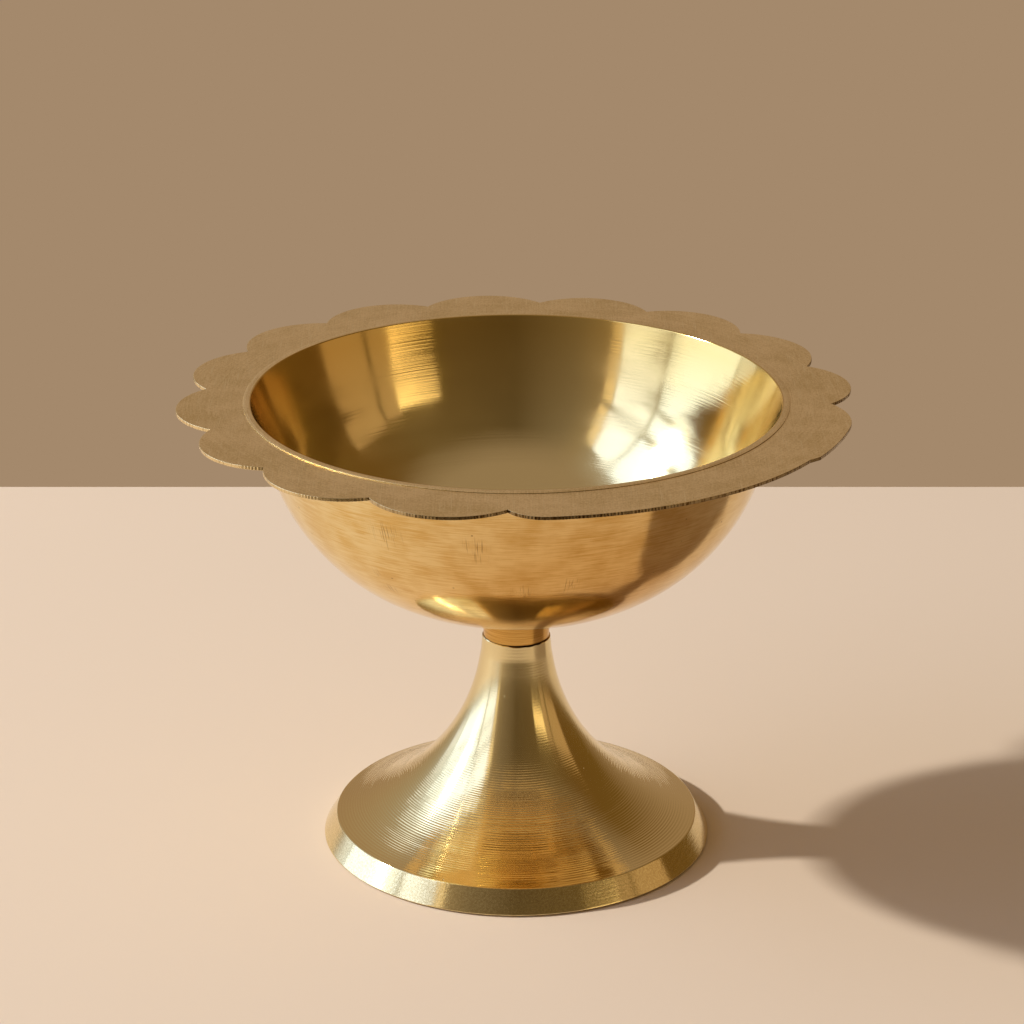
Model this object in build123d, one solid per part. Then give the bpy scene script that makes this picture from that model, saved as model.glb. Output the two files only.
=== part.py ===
from build123d import *
import os
from math import cos, radians, sin, sqrt, tan

# A butter lamp: a thin brass bowl with a scalloped rim, screwed into a trumpet foot.
# Lengths are in millimetres and angles in degrees. Z is up and is the axis that the
# bowl and the foot were turned on. The origin is the middle of the ring that the
# foot stands on. Each piece is drawn where it sits when the lamp is screwed together.

# Foot: a cast trumpet, turned outside and left hollow underneath.
FOOT_H = 34.8  # table to the seam under the bowl
BASE_R = 31.7  # widest edge, on the table
ARRIS_H = 0.4  # upright edge under the polished band
BAND_H = 3.9  # table to the top of the polished band
BAND_RUN = 2.1  # how far the band leans in over its height
RING_W = 4.0  # width of the flat ring that stands on the table
FOOT_WALL = 2.2  # thickness of the skirt
NECK_R = 5.3  # outside of the neck at the seam
NECK_RUN = 4.7  # straight part of the neck, above the cove
NECK_LEAN = 10.4  # flare of the straight part from upright

# Screw: a brass stud, fixed in the bowl, that screws into the foot's tapped neck.
STUD_R = 3.0  # outside of the thread
ENGAGEMENT = 8.0  # length of thread that sits in the foot
RUNOUT = 2.0  # tapped hole left below the stud, before the hollow
LEAD_IN = 0.6  # chamfer on the stud's lower end
THREAD_GAP = 0.05  # between the stud and the tapped hole, on the radius

# Washer: thin leather, set back in the seam.
WASHER_T = 0.35
WASHER_SETBACK = 0.3  # from the collar's edge to the washer's edge
WASHER_GAP = 0.15  # between the washer and the stud, on the radius

# Collar: a turned sleeve between the washer and the bowl.
COLLAR_H = 6.3  # washer to the underside of the bowl
COLLAR_STEP = 0.15  # how much slimmer than the foot's neck it starts
COLLAR_FLARE = 0.2  # how much it widens on its way up
COVE_R = 1.2  # rounding out under the bowl
COVE_LIP = 0.15  # edge left at the top of that rounding

# Bowl: a thin shell, flat in the middle and straight under its rim.
MOUTH_R = 42.0  # inside of the rim
BOWL_DEPTH = 34.35  # rim to the underside
BOWL_WALL = 1.1
WALL_LEAN = 20.8  # flare of the straight part from upright
FLAT_MARGIN = 0.3  # flat left round the collar's top
RIM_STRAIGHT = 3.0  # least straight wall under the rim, for the flange

# Wick socket: a blind hole in the top of the stud, open to the bowl's floor.
WICK_R = 1.5
WICK_DEPTH = 5.0

# Flange: sawn and filed from sheet, let onto the bowl just under its rim.
FLANGE_T = 0.55
FLANGE_W = 10.5  # rim to the tips of the lobes
RIM_PROUD = 0.2  # how far the rim stands above the flange
NOTCH_DEPTH = 4.1  # tip of a lobe to the notch beside it
# Notches between lobes, by bearing from +X towards +Y. They were spaced by eye, and
# the stretch from the last one round to the first was left plain.
NOTCHES = (-3.5, 18.0, 41.0, 63.4, 85.3, 107.7, 130.0, 152.6, 175.3, 197.8, 220.2, 244.1, 268.5)
PLAIN_DROP = 1.0  # lobe tips to the plain edge, next to the last notch
PLAIN_STEP = 0.7  # rise in the plain edge where two saw cuts meet
STEP_AT = 327.0  # bearing of that step
STEP_SWEEP = 2.0  # angle that the step takes up
LAST_CORNER = 6.5  # angle that rounds the plain edge into the last notch
FIRST_CORNER = 11.5  # angle that rounds it into the first notch

SOLDER_GAP = 0.03  # room for solder between pieces that are joined for good

# Heights and radii that follow from the sizes above.
collar_z = FOOT_H + WASHER_T
bowl_z = collar_z + COLLAR_H
floor_z = bowl_z + BOWL_WALL
rim_z = bowl_z + BOWL_DEPTH
collar_r = NECK_R - COLLAR_STEP
collar_top_r = collar_r + COLLAR_FLARE + COVE_R
bowl_hole_r = STUD_R + SOLDER_GAP
rim_r = MOUTH_R + BOWL_WALL / cos(radians(WALL_LEAN))


def turned(*edges):
    """Revolves a closed outline, drawn as (radius, height), about the lamp's axis."""
    return revolve(Plane.XZ * make_face(edges), Axis.Z)


def cylinder(radius, low, high):
    """A plain round solid on the lamp's axis, between two heights."""
    return Pos(0, 0, low) * extrude(Circle(radius), high - low)


def polar(radius, bearing):
    """A point of the flange's outline."""
    return Vector(radius * cos(radians(bearing)), radius * sin(radians(bearing)))


def rim_arc(radius, start, end):
    """Part of a circle round the lamp's axis, between two bearings."""
    return CenterArc((0, 0), radius, start, end - start)


def make_foot():
    """Straight neck, one long cove, a sloped polished band, and a hollow that follows."""
    lean = radians(NECK_LEAN)
    neck_end = Vector(NECK_R + NECK_RUN * sin(lean), FOOT_H - NECK_RUN * cos(lean))
    skirt_edge = Vector(BASE_R - BAND_RUN, BAND_H)
    # The cove leaves the neck without a corner and ends on the skirt's edge.
    inward = Vector(cos(lean), sin(lean))
    chord = skirt_edge - neck_end
    cove_r = chord.dot(chord) / (2 * chord.dot(inward))
    centre = neck_end + inward * cove_r
    trumpet = turned(
        Polyline((0, 0), (BASE_R, 0), (BASE_R, ARRIS_H), skirt_edge),
        TangentArc(neck_end, skirt_edge, tangent=(sin(lean), -cos(lean))),
        Polyline(neck_end, (NECK_R, FOOT_H), (0, FOOT_H), (0, 0)),
    )
    # The hollow runs parallel to the cove, one wall thickness behind it.
    hollow_r = cove_r + FOOT_WALL
    ring_r = BASE_R - RING_W
    ceiling_z = FOOT_H - ENGAGEMENT - RUNOUT
    ring_top = Vector(ring_r, centre.Y - sqrt(hollow_r**2 - (centre.X - ring_r) ** 2))
    ceiling = Vector(centre.X - sqrt(hollow_r**2 - (centre.Y - ceiling_z) ** 2), ceiling_z)
    middle = centre + ((ring_top + ceiling) / 2 - centre).normalized() * hollow_r
    hollow = turned(
        Polyline((0, 0), (ring_r, 0), ring_top),
        ThreePointArc(ring_top, middle, ceiling),
        Polyline(ceiling, (0, ceiling_z), (0, 0)),
    )
    print(f"foot: cove radius {cove_r:.2f}, hollow ceiling at {ceiling_z:.2f}, radius {ceiling.X:.2f}")
    return trumpet - hollow - cylinder(STUD_R + THREAD_GAP, ceiling_z, FOOT_H)


def make_washer():
    """Lies on the foot's neck and is caught under the collar."""
    outside = cylinder(collar_r - WASHER_SETBACK, FOOT_H, collar_z)
    return outside - cylinder(STUD_R + WASHER_GAP, FOOT_H, collar_z)


def make_stud():
    """Runs from the foot's thread up through the collar, flush with the bowl's floor."""
    low = FOOT_H - ENGAGEMENT
    blank = turned(
        Polyline(
            (0, low),
            (STUD_R - LEAD_IN, low),
            (STUD_R, low + LEAD_IN),
            (STUD_R, floor_z),
            (0, floor_z),
            (0, low),
        )
    )
    return blank - cylinder(WICK_R, floor_z - WICK_DEPTH, floor_z)


def make_collar():
    """A slightly flared sleeve that rounds out to its seat under the bowl."""
    cove_start = Vector(collar_r + COLLAR_FLARE, bowl_z - COVE_R - COVE_LIP)
    cove_end = Vector(collar_top_r, bowl_z - COVE_LIP)
    cove_middle = Vector(cove_end.X, cove_start.Y) + Vector(-sin(radians(45)), sin(radians(45))) * COVE_R
    return turned(
        Polyline((bowl_hole_r, bowl_z), (bowl_hole_r, collar_z), (collar_r, collar_z), cove_start),
        ThreePointArc(cove_start, cove_middle, cove_end),
        Polyline(cove_end, (collar_top_r, bowl_z), (bowl_hole_r, bowl_z)),
    )


def wall_outline(rim, depth, belly_r):
    """One side of the bowl's wall, from the hole in its floor round the belly to the rim."""
    corner = (rim - depth * tan(radians(WALL_LEAN)), rim_z - depth)
    return FilletPolyline((bowl_hole_r, corner[1]), corner, (rim, rim_z), radius=belly_r)


def make_bowl():
    """A shell whose straight wall rolls through one arc into a flat floor."""
    corner_r = rim_r - BOWL_DEPTH * tan(radians(WALL_LEAN))
    floor_run = corner_r - collar_top_r - FLAT_MARGIN
    wall_run = BOWL_DEPTH / cos(radians(WALL_LEAN)) - RIM_STRAIGHT
    belly_r = min(floor_run, wall_run) / tan(radians(90 - WALL_LEAN) / 2)
    outside = wall_outline(rim_r, BOWL_DEPTH, belly_r)
    inside = wall_outline(MOUTH_R, BOWL_DEPTH - BOWL_WALL, belly_r - BOWL_WALL)
    print(f"bowl: belly radius {belly_r:.2f}, rim radius {rim_r:.2f}, rim at {rim_z:.2f}")
    rim_top = Line((rim_r, rim_z), (MOUTH_R, rim_z))
    floor_edge = Line((bowl_hole_r, bowl_z), (bowl_hole_r, floor_z))
    return turned(*outside.edges(), *inside.edges(), rim_top, floor_edge)


def flange_outline():
    """Lobes between the notches, then the plain stretch with its one small step."""
    tip_r = rim_r + FLANGE_W
    notch_r = tip_r - NOTCH_DEPTH
    edges = []
    for start, end in zip(NOTCHES, NOTCHES[1:]):
        tip = polar(tip_r, (start + end) / 2)
        edges.append(ThreePointArc(polar(notch_r, start), tip, polar(notch_r, end)))
    low_r = tip_r - PLAIN_DROP
    high_r = low_r + PLAIN_STEP
    last = NOTCHES[-1]
    first = NOTCHES[0] + 360
    plain_start = last + LAST_CORNER
    plain_end = first - FIRST_CORNER
    step_end = STEP_AT + STEP_SWEEP
    edges += [
        TangentArc(polar(low_r, plain_start), polar(notch_r, last), tangent=polar(1, plain_start - 90)),
        rim_arc(low_r, plain_start, STEP_AT),
        Line(polar(low_r, STEP_AT), polar(high_r, step_end)),
        rim_arc(high_r, step_end, plain_end),
        TangentArc(polar(high_r, plain_end), polar(notch_r, first), tangent=polar(1, plain_end + 90)),
    ]
    print(f"flange: {len(NOTCHES) - 1} lobes to {tip_r:.2f}, notches at {notch_r:.2f}")
    return edges


def make_flange():
    """Flat sheet, pierced with a tapered hole that wedges on the bowl's flared wall."""
    low = rim_z - RIM_PROUD - FLANGE_T
    slope = tan(radians(WALL_LEAN))
    hole_low = rim_r - (RIM_PROUD + FLANGE_T) * slope + SOLDER_GAP
    hole_high = rim_r - RIM_PROUD * slope + SOLDER_GAP
    sheet = extrude(make_face(flange_outline()), FLANGE_T)
    hole = Pos(0, 0, FLANGE_T / 2) * Cone(hole_low, hole_high, FLANGE_T)
    return Pos(0, 0, low) * (sheet - hole)


PIECES = {
    "foot": make_foot,
    "seat_washer": make_washer,
    "threaded_stud": make_stud,
    "neck_collar": make_collar,
    "bowl": make_bowl,
    "rim_flange": make_flange,
}

os.makedirs("parts", exist_ok=True)
for name, make in PIECES.items():
    piece = make()
    export_step(piece, f"parts/{name}.step")
    print(f"{name}: {piece.volume:.1f} mm3")
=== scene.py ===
# %% [markdown]
# # A brass butter lamp
# The lamp is a thin bowl with a scalloped rim, screwed into a trumpet foot. Nearly all of it was
# turned on a lathe, so most pieces here are one outline spun round the Z axis, as the real ones
# were. The rim is the exception: it was sawn and filed from sheet by hand, and it shows that.
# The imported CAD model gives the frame. Each of its six pieces is made again here, finer, in the
# same place.

# %% The frame
from math import atan2, ceil, cos, floor, pi, radians, sin, sqrt, tan

import bmesh
import bpy
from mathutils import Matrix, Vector, noise


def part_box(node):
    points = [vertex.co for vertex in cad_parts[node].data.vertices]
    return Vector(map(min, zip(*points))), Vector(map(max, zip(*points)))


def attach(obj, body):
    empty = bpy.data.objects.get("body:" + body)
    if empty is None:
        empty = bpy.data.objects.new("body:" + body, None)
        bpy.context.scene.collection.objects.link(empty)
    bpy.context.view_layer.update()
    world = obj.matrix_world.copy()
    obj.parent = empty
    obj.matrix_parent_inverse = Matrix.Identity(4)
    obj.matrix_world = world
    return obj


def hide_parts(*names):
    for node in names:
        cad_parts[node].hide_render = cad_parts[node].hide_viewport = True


MM = 0.001  # sizes below are in millimetres, Blender's are in metres

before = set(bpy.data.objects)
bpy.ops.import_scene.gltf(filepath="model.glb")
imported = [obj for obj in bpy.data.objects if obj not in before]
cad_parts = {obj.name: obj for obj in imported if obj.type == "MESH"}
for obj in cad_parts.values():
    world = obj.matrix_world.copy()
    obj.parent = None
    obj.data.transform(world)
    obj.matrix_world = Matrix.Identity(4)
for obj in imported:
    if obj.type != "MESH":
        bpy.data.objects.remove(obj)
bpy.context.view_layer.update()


# %% [markdown]
# ## Camera
# The camera was fitted to three ellipses: the mouth, the seam in the neck and the edge of the
# foot. A long lens close to level would make all three too thin, so it stands half a metre off and
# looks down by 21 degrees. The lens is given for Blender's 36 mm sensor and a square picture.

# %% Camera
CAMERA_AT = (-0.7, -514.6, 254.2)
CAMERA_DOWN = 21.05  # degrees below level
CAMERA_LENS = 121.1

camera = bpy.data.objects.new("camera", bpy.data.cameras.new("camera"))
camera.data.lens = CAMERA_LENS
camera.data.sensor_width = 36.0
camera.data.clip_start = 10 * MM
camera.location = Vector(CAMERA_AT) * MM
camera.rotation_euler = (radians(90 - CAMERA_DOWN), 0, 0)
bpy.context.scene.collection.objects.link(camera)
bpy.context.scene.camera = camera
bpy.context.scene.view_settings.view_transform = "Standard"
print("camera at", tuple(camera.location))


# %% [markdown]
# ## Node helper
# Every material, and the world, is a small tree of nodes. One function adds a node, sets its
# options and fills its inputs, by name or by number, with a value or with another node's output.
# Inputs 1 to 4 of a Map Range node are the lowest and highest value that comes in, and what each
# of them becomes. Inputs 6 and 7 of a colour Mix node are its two colours.
# Colours are written as hex, as a picture editor shows them, and Blender wants them linear.

# %% Node helper
def add(tree, kind, inputs=None, **options):
    """Adds a node to a tree, with its options, its values and its links."""
    node = tree.nodes.new("ShaderNode" + kind)
    for option, value in options.items():
        setattr(node, option, value)
    for socket, value in (inputs or {}).items():
        if isinstance(value, bpy.types.NodeSocket):
            tree.links.new(value, node.inputs[socket])
        else:
            node.inputs[socket].default_value = value
    return node


def linear(colour):
    """Turns an sRGB hex colour into Blender's linear RGBA."""
    parts = [int(colour[i:i + 2], 16) / 255 for i in (1, 3, 5)]
    return [p / 12.92 if p <= 0.04045 else ((p + 0.055) / 1.055) ** 2.4 for p in parts] + [1.0]


print("mid grey is", [round(part, 3) for part in linear("#808080")])


# %% [markdown]
# ## Floor and light
# Polished metal has little colour of its own to show: what the eye reads as brass is whatever lies
# around it, tinted. So the studio is kept plain but not empty. A pale floor lies under the lamp,
# and it ends close in front and at the right, because the neck has to find something dark there.
# Tall soft boxes stand on the left in columns, cool as daylight is, and a small lamp shines past
# them from 32 degrees up, which throws the shadow to the right. Two warm panels and a smaller warm
# box stand at the right. The backdrop is brown, paler and cooler on the left behind the soft boxes,
# and darker on the right and behind the camera. It is painted on the world by compass direction.

# %% Floor
FLOOR_BACK = 160.5  # its far edge, behind the lamp's axis
FLOOR_FRONT = 190.0  # its near edge, in front of that axis
FLOOR_LEFT = 420.0
FLOOR_RIGHT = 240.0
FLOOR_COLOUR = "#E1D1BE"

bm = bmesh.new()
bmesh.ops.create_grid(bm, x_segments=1, y_segments=1, size=1.0)
half_depth = (FLOOR_BACK + FLOOR_FRONT) / 2
half_width = (FLOOR_LEFT + FLOOR_RIGHT) / 2
bmesh.ops.scale(bm, verts=bm.verts, vec=(half_width * MM, half_depth * MM, 1))
floor_middle = Vector((FLOOR_RIGHT - half_width, FLOOR_BACK - half_depth, 0)) * MM
bmesh.ops.translate(bm, verts=bm.verts, vec=floor_middle)
floor_sheet = bpy.data.objects.new("floor", bpy.data.meshes.new("floor"))
bm.to_mesh(floor_sheet.data)
bm.free()
bpy.context.scene.collection.objects.link(floor_sheet)

pale_floor = bpy.data.materials.new("pale_floor")
pale_floor.use_nodes = True
pale_shader = pale_floor.node_tree.nodes["Principled BSDF"]
pale_shader.inputs["Base Color"].default_value = linear(FLOOR_COLOUR)
pale_shader.inputs["Roughness"].default_value = 0.9
pale_shader.inputs["Specular IOR Level"].default_value = 0.15
floor_sheet.data.materials.append(pale_floor)
print("floor:", len(floor_sheet.data.polygons), "face, far edge at", FLOOR_BACK, "mm")

# %% Backdrop
BACKDROP = (  # degrees clockwise from straight behind the lamp, seen from above
    (-180, "#604F35"),
    (-150, "#80705A"),
    (-137, "#978469"),
    (-118, "#B4AFA8"),
    (-60, "#C4C8D0"),
    (-48, "#B4AEA8"),
    (-40, "#AC9E8A"),
    (-26, "#AA9276"),
    (-16, "#A4896C"),
    (20, "#A4896C"),
    (50, "#705427"),
    (80, "#6E5127"),
    (120, "#6F5A38"),
    (180, "#604F35"),
)
OVERHEAD = "#9C8872"
OVERHEAD_FROM, OVERHEAD_TO = 0.7, 0.9  # sine of the height where that colour starts and is full
surround = bpy.data.worlds.new("surround")
surround.use_nodes = True
bpy.context.scene.world = surround
sky = surround.node_tree
towards = add(sky, "SeparateXYZ", {0: add(sky, "TexCoord").outputs["Generated"]})
compass = add(sky, "Math", {0: towards.outputs["X"], 1: towards.outputs["Y"]}, operation="ARCTAN2")
turn_part = add(sky, "MapRange", {0: compass.outputs[0], 1: -pi, 2: pi, 3: 0.0, 4: 1.0})
sides = add(sky, "ValToRGB", {0: turn_part.outputs[0]})
stops = sides.color_ramp.elements
while len(stops) < len(BACKDROP):
    stops.new(1.0)
for stop, (degrees, colour) in zip(stops, BACKDROP):
    stop.position = degrees / 360 + 0.5
    stop.color = linear(colour)
upward = add(sky, "MapRange", {0: towards.outputs["Z"], 1: OVERHEAD_FROM, 2: OVERHEAD_TO, 3: 0.0, 4: 1.0})
shell = add(
    sky, "Mix", {0: upward.outputs[0], 6: sides.outputs["Color"], 7: linear(OVERHEAD)}, data_type="RGBA"
)
sky.links.new(shell.outputs[2], sky.nodes["Background"].inputs["Color"])
print("backdrop:", len(stops), "colours")


# %% Lamps
BOX_PLANE = -1.15  # metres to the left of the lamp: the tall soft boxes stand in this plane
BOX_COLUMNS = (  # from and to, in metres along Y, then how bright, and the colour
    (-1.15, -0.92, 0.69, "#FFE4B7"),
    (-0.90, -0.345, 1.65, "#CCDCFF"),
    (-0.29, 0.57, 1.75, "#C0D6FF"),
    (0.60, 0.92, 0.8, "#CCDCFF"),
)
BOX_ROWS = ((0.08, 0.40), (0.47, 0.69), (0.80, 1.60))  # from and to, in metres up
SINGLE_LAMPS = (  # name, place, width and height in metres, how bright, and the colour
    ("key_light", (-2.194, 0.223, 1.428), 0.11, 0.11, 1884.0, "#FFF8EE"),
    ("warm_light", (0.96, -0.77, 0.41), 0.48, 0.24, 1.5, "#FFDFA4"),
    ("warm_panel_near", (1.2, -0.494, 0.34), 0.23, 0.56, 0.34, "#FFD6A2"),
    ("warm_panel_far", (1.2, -0.075, 0.34), 0.49, 0.56, 0.34, "#FFD6A2"),
)
LIT_POINT = Vector((0, 0, 0.05))  # the lamps face this place, low in the bowl


def soft_box(name, place, width, height, radiance, colour):
    """A plain rectangular lamp that faces the bowl. A radiance of 1 is as bright as white paper."""
    lamp = bpy.data.objects.new(name, bpy.data.lights.new(name, "AREA"))
    lamp.data.shape = "RECTANGLE"
    lamp.data.size = width
    lamp.data.size_y = height
    lamp.data.energy = radiance * pi * width * height
    lamp.data.color = linear(colour)[:3]
    lamp.location = place
    lamp.rotation_euler = (Vector(place) - LIT_POINT).to_track_quat("Z", "Y").to_euler()
    lamp.visible_camera = False
    bpy.context.scene.collection.objects.link(lamp)
    return lamp


for column, (near, far, radiance, colour) in enumerate(BOX_COLUMNS):
    for row, (low, high) in enumerate(BOX_ROWS):
        place = (BOX_PLANE, (near + far) / 2, (low + high) / 2)
        box = soft_box(f"soft_box_{column}_{row}", place, high - low, far - near, radiance, colour)
        box.rotation_euler = (0, -pi / 2, 0)
for lamp in SINGLE_LAMPS:
    soft_box(*lamp)


# %% [markdown]
# ## Turning an outline
# A turned piece starts as a wire: half of its section, drawn in the XZ plane. Straight runs are
# single edges. An arc is made by the same tool as the turning itself, by spinning the wire's last
# vertex about the arc's centre. Small corners are broken with a vertex bevel, as a turner breaks
# them with a file, because a perfectly sharp edge catches no light. The closed wire is then spun
# once round Z. Spin can leave faces the wrong way round, so doubles are merged and the normals
# are worked out again.

# %% Turning helpers
TURN_STEPS = 288  # faces round a turned piece
SHARP = radians(12)  # creases steeper than this are shaded as creases
DOUBLES = 0.0005  # points closer than this are one point


def begin(bm, radius, height):
    """First point of an outline."""
    return bm.verts.new((radius * MM, 0, height * MM))


def straight(bm, last, radius, height):
    """Carries the outline on to a point."""
    vertex = begin(bm, radius, height)
    bm.edges.new((last, vertex))
    return vertex


def arc(bm, last, radius, height, angle, steps):
    """Carries the outline on about a centre, anticlockwise where the angle is positive."""
    made = bmesh.ops.spin(
        bm, geom=[last], cent=(radius * MM, 0, height * MM), axis=(0, -1, 0), angle=angle, steps=steps
    )
    return next(part for part in made["geom_last"] if isinstance(part, bmesh.types.BMVert))


def close(bm, last, first):
    """Joins the outline's two ends."""
    bm.edges.new((last, first))


def break_corners(bm, corners, width, segments=2):
    """Rounds some corners of the outline by a little."""
    bmesh.ops.bevel(
        bm, geom=corners, offset=width * MM, segments=segments, profile=0.5, affect="VERTICES", material=-1
    )


def turn(bm):
    """Spins the whole outline round the lamp's axis and makes it one clean skin."""
    bmesh.ops.spin(
        bm, geom=bm.verts[:] + bm.edges[:], axis=(0, 0, 1), angle=2 * pi, steps=TURN_STEPS, use_merge=True
    )
    bmesh.ops.remove_doubles(bm, verts=bm.verts, dist=DOUBLES * MM)
    bmesh.ops.recalc_face_normals(bm, faces=bm.faces)


def finish_piece(bm, name, node, body, materials):
    """Makes the object, shades it smooth between its creases, and tells the frame whose it is."""
    for face in bm.faces:
        face.smooth = True
    for edge in bm.edges:
        edge.smooth = edge.is_manifold and edge.calc_face_angle() < SHARP
    open_edges = sum(not edge.is_manifold for edge in bm.edges)
    piece = bpy.data.objects.new(name, bpy.data.meshes.new(name))
    bm.to_mesh(piece.data)
    bm.free()
    for material in materials:
        piece.data.materials.append(material)
    bpy.context.scene.collection.objects.link(piece)
    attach(piece, body)
    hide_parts(node)
    triangles = sum(len(face.vertices) - 2 for face in piece.data.polygons)
    print(f"{name}: {triangles} triangles, {open_edges} open edges")


def node_size(node):
    """A node's outer radius, and its lowest and highest points, in millimetres."""
    low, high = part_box(node)
    return high[0] / MM, low[2] / MM, high[2] / MM


for node in sorted(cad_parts):
    print(node, [round(size, 2) for size in node_size(node)])


# %% [markdown]
# ## Brass
# All the metal is the same yellow brass, cast, spun or rolled, so one function builds every
# finish from it. What differs is the tool that last touched the surface. A lathe leaves rings, so
# its pattern is noise read from the distance to the axis and the height instead of from X, Y and
# Z: it then runs round the piece without a break. Sandpaper leaves straight scratches, so its
# pattern is noise that is stretched along one direction. Real marks are a few thousandths of a
# millimetre deep, and that is the bump's height here. Fine rings also smear reflections across
# themselves and not along themselves, which is what the shader's anisotropy is for.

# %% Lathe coordinates
DRIFT = 25.0  # the way along which a wobbling ring wanders out and back


def lathe_coordinates(tree, wobble=0.0):
    """Distance from the axis and height, as a vector: noise read from it makes rings."""
    place = add(tree, "TexCoord").outputs["Object"]
    if wobble:
        drift = add(tree, "TexNoise", {"Vector": place, "Scale": 1 / (DRIFT * MM), "Detail": 1.0})
        middle = (0.5, 0.5, 0.5)
        centred = add(tree, "VectorMath", {0: drift.outputs["Color"], 1: middle}, operation="SUBTRACT")
        moved = add(tree, "VectorMath", {0: centred.outputs[0], "Scale": wobble * MM}, operation="SCALE")
        place = add(tree, "VectorMath", {0: place, 1: moved.outputs[0]}, operation="ADD").outputs[0]
    flat = add(tree, "VectorMath", {0: place, 1: (1, 1, 0)}, operation="MULTIPLY")
    radius = add(tree, "VectorMath", {0: flat.outputs[0]}, operation="LENGTH")
    parts = add(tree, "SeparateXYZ", {0: place})
    return add(tree, "CombineXYZ", {"X": radius.outputs["Value"], "Z": parts.outputs["Z"]}).outputs[0]


def strokes(tree, outline, length, around):
    """Noise in strokes: so long along the outline, so many to a radian round the axis."""
    place = add(tree, "TexCoord").outputs["Object"]
    flat = add(tree, "VectorMath", {0: place, 1: (1, 1, 0)}, operation="MULTIPLY")
    heading = add(tree, "VectorMath", {0: flat.outputs[0]}, operation="NORMALIZE")
    spread = add(tree, "VectorMath", {0: heading.outputs[0], "Scale": around}, operation="SCALE")
    slope = Vector((outline[0], 0, outline[1])) / (length * MM)
    way = add(tree, "VectorMath", {0: lathe_coordinates(tree), 1: slope}, operation="DOT_PRODUCT")
    lift = add(tree, "CombineXYZ", {"Z": way.outputs["Value"]})
    where = add(tree, "VectorMath", {0: spread.outputs[0], 1: lift.outputs[0]}, operation="ADD")
    return add(tree, "TexNoise", {"Vector": where.outputs[0], "Scale": 1.0, "Detail": 2.0}).outputs["Fac"]


def brass_tree(name, colour, roughness, anisotropy=0.0):
    """A new brass material: its tree and its shader, plain until nodes are linked to it."""
    material = bpy.data.materials.new(name)
    material.use_nodes = True
    shader = material.node_tree.nodes["Principled BSDF"]
    shader.inputs["Base Color"].default_value = linear(colour)
    shader.inputs["Metallic"].default_value = 1.0
    shader.inputs["Roughness"].default_value = roughness
    shader.inputs["Anisotropic"].default_value = anisotropy
    shader.inputs["Anisotropic Rotation"].default_value = 0.25  # a quarter turn: across the rings
    return material, material.node_tree, shader


BRASS = "#F0E0AE"  # clean yellow brass
print("brass is", [round(part, 3) for part in linear(BRASS)[:3]])

# %% [markdown]
# ## Polished brass
# The bowl was polished inside until it is a mirror, but the lathe's lines are still there:
# fine rings, crowded in some zones and faint in others, that comb every reflection. A metal sheet
# is also never quite true, so a slow swell bends straight reflections a little. A cloth has wiped
# it many times since, and its fine scuffs lie in clouds that dim the mirror. Towards the rim, where
# hands and smoke reach, the colour is deeper.

# %% Polished brass
TINT_FROM, TINT_FULL = 58.0, 74.0  # heights between which the colour deepens
polished_brass, tree, shader = brass_tree("spun_brass_polished_inside", BRASS, 0.1, 0.5)
rings = lathe_coordinates(tree, wobble=0.3)
lines = add(tree, "TexNoise", {"Vector": rings, "Scale": 1 / (0.26 * MM), "Detail": 2.0})
zones = add(tree, "TexNoise", {"Vector": rings, "Scale": 1 / (3.5 * MM), "Detail": 1.0})
depth = add(tree, "MapRange", {0: zones.outputs["Fac"], 1: 0.36, 2: 0.64, 3: 0.2, 4: 1.0})
combed = add(tree, "Math", {0: lines.outputs["Fac"], 1: depth.outputs[0]}, operation="MULTIPLY")
line_bump = add(tree, "Bump", {"Height": combed.outputs[0], "Distance": 0.016 * MM, "Strength": 1.0})
place = add(tree, "TexCoord")
swell = add(tree, "TexNoise", {"Vector": place.outputs["Object"], "Scale": 1 / (16 * MM), "Detail": 1.0})
swell_bump = add(tree, "Bump", {
    "Height": swell.outputs["Fac"], "Distance": 0.2 * MM, "Strength": 1.0,
    "Normal": line_bump.outputs["Normal"],
})
height = add(tree, "SeparateXYZ", {0: place.outputs["Object"]})
near_rim = add(tree, "MapRange", {0: height.outputs["Z"], 1: TINT_FROM * MM, 2: TINT_FULL * MM})
gold = add(tree, "Mix", {0: near_rim.outputs[0], 6: linear(BRASS), 7: linear("#DFC27C")}, data_type="RGBA")
tree.links.new(gold.outputs[2], shader.inputs["Base Color"])
haze = add(tree, "MapRange", {0: zones.outputs["Fac"], 1: 0.3, 2: 0.7, 3: 0.08, 4: 0.15})
clouds = add(tree, "TexNoise", {"Vector": place.outputs["Object"], "Scale": 1 / (7 * MM), "Detail": 2.0})
scuffs = add(tree, "TexNoise", {"Vector": place.outputs["Object"], "Scale": 1 / (0.2 * MM), "Detail": 2.0})
wiped = add(
    tree, "Math", {0: scuffs.outputs["Fac"], 1: 0.6, 2: clouds.outputs["Fac"]}, operation="MULTIPLY_ADD"
)
dull = add(tree, "MapRange", {0: wiped.outputs[0], 1: 0.72, 2: 1.0, 3: 0.0, 4: 0.06})
rough = add(tree, "Math", {0: haze.outputs[0], 1: dull.outputs[0]}, operation="ADD")
tree.links.new(rough.outputs[0], shader.inputs["Roughness"])
tree.links.new(swell_bump.outputs["Normal"], shader.inputs["Normal"])
print(polished_brass.name, len(tree.nodes), "nodes")
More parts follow.
